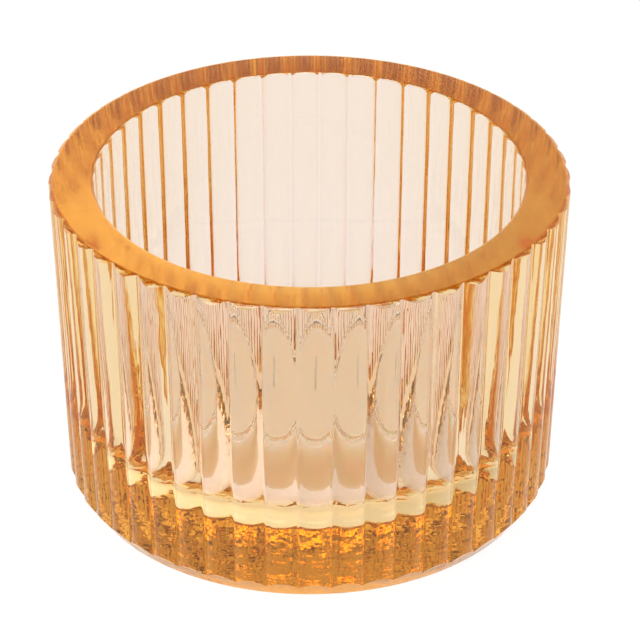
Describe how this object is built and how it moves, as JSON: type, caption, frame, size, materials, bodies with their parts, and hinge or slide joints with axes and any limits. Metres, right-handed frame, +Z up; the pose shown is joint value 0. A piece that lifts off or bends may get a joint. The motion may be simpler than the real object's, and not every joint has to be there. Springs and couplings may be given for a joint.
{
  "type": "tealight holder",
  "caption": "Fluted tinted-glass cup that holds a tealight; the tealight lifts straight out through the mouth.",
  "frame": {"origin": "centre of the glass base, on the surface it stands on", "axes": "+Z up along the axis of the cup, out of its mouth; +X and +Y are alike and each points through the crest of a flute"},
  "size_m": [0.08, 0.08, 0.053],
  "materials": {
    "tinted_glass": "clear pressed glass, amber-peach tint, fire-polished",
    "clear_plastic": "clear moulded cup, polished",
    "wax": "soft satin paraffin wax",
    "clip_steel": "tin-plated sheet",
    "wick_cotton": "waxed cotton braid"
  },
  "bodies": {
    "holder": {"glass_cup": "tinted_glass"},
    "tealight": {"tealight_cup": "clear_plastic", "tealight_wax": "wax", "wick_clip": "clip_steel", "wick": "wick_cotton"}
  },
  "joints": [
    {"name": "tealight_lift", "type": "slide", "parent": "holder", "child": "tealight", "axis": [0, 0, 1], "range_m": [0, 0.055]}
  ]
}
